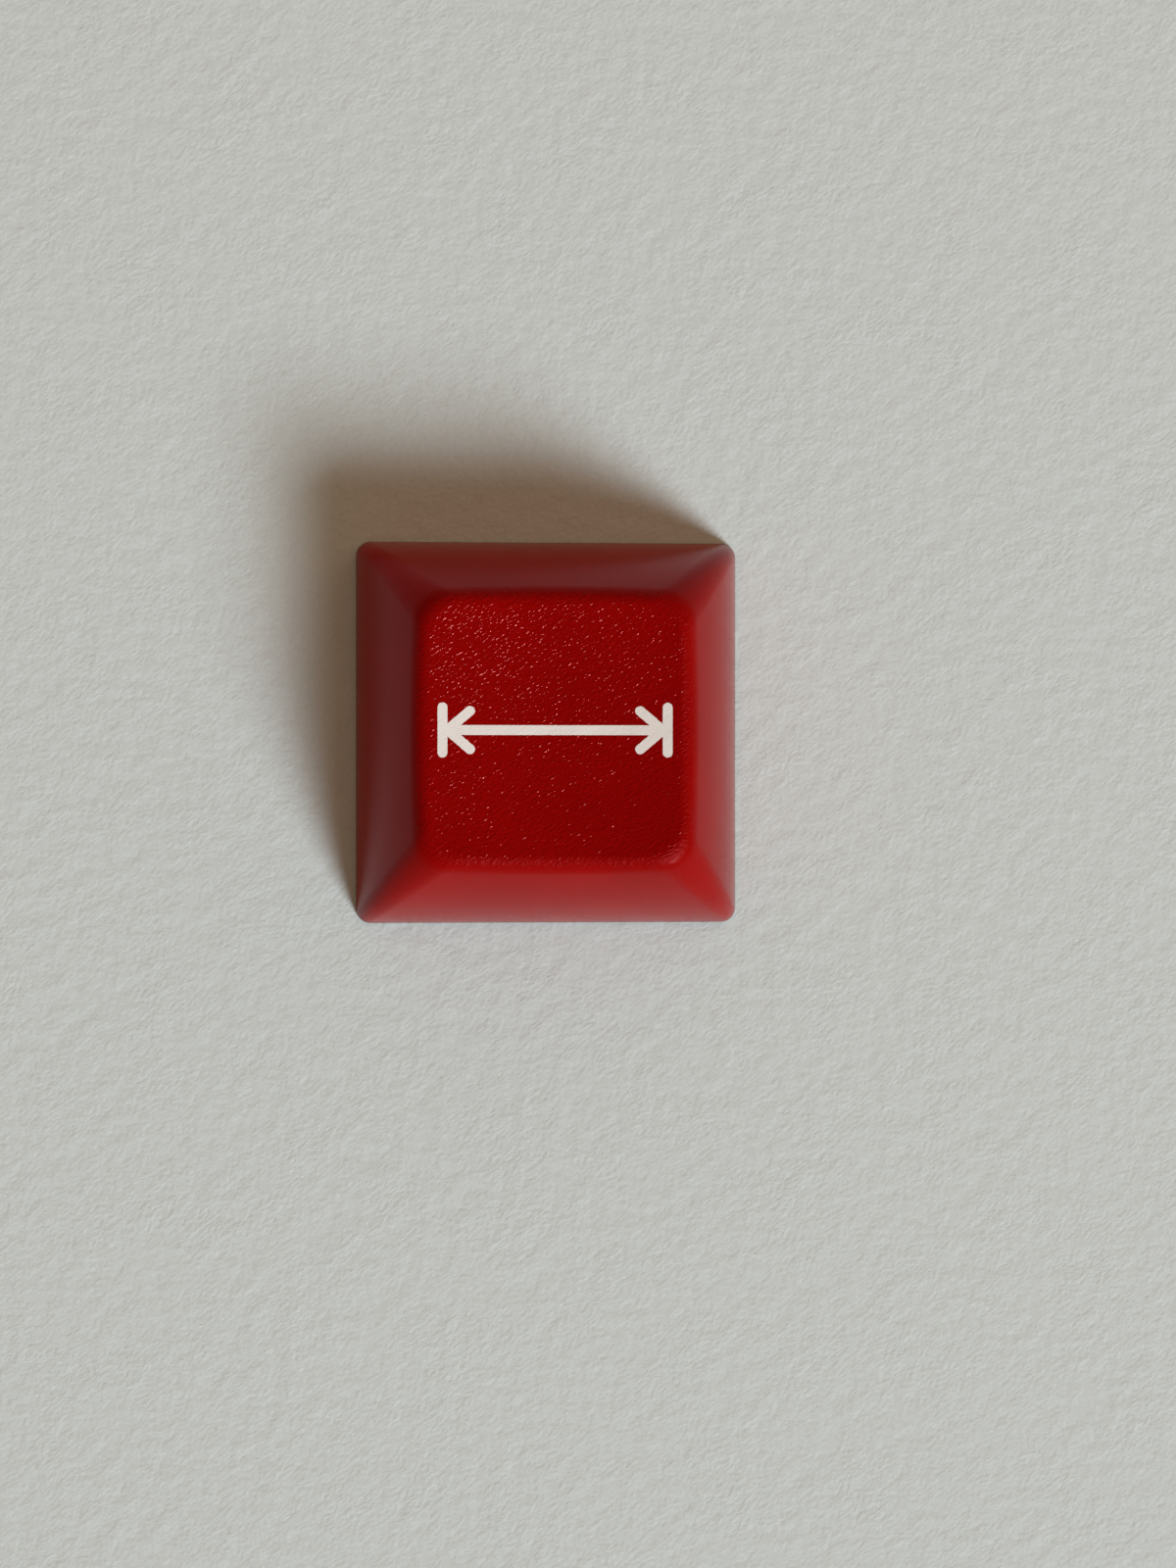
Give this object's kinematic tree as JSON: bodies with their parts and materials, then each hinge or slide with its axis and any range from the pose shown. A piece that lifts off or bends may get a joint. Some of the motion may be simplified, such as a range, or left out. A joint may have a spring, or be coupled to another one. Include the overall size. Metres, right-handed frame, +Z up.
{
  "type": "keycap",
  "caption": "Low one-unit keycap with bowed sides, a spherical dish, a flush inlaid mark and a cross-shaped stem socket.",
  "frame": {"origin": "middle of the rim that the cap stands on", "axes": "+Z up out of the dish, -Y towards the typist, X from left to right across the key"},
  "size_m": [0.0182, 0.0182, 0.0074],
  "materials": {
    "cap_shell": "glossy red sides and a fine grain over the dish",
    "legend_inlay": "satin warm white"
  },
  "bodies": {
    "root": {"cap_shell": "cap_shell", "legend_inlay": "legend_inlay"}
  },
  "joints": []
}
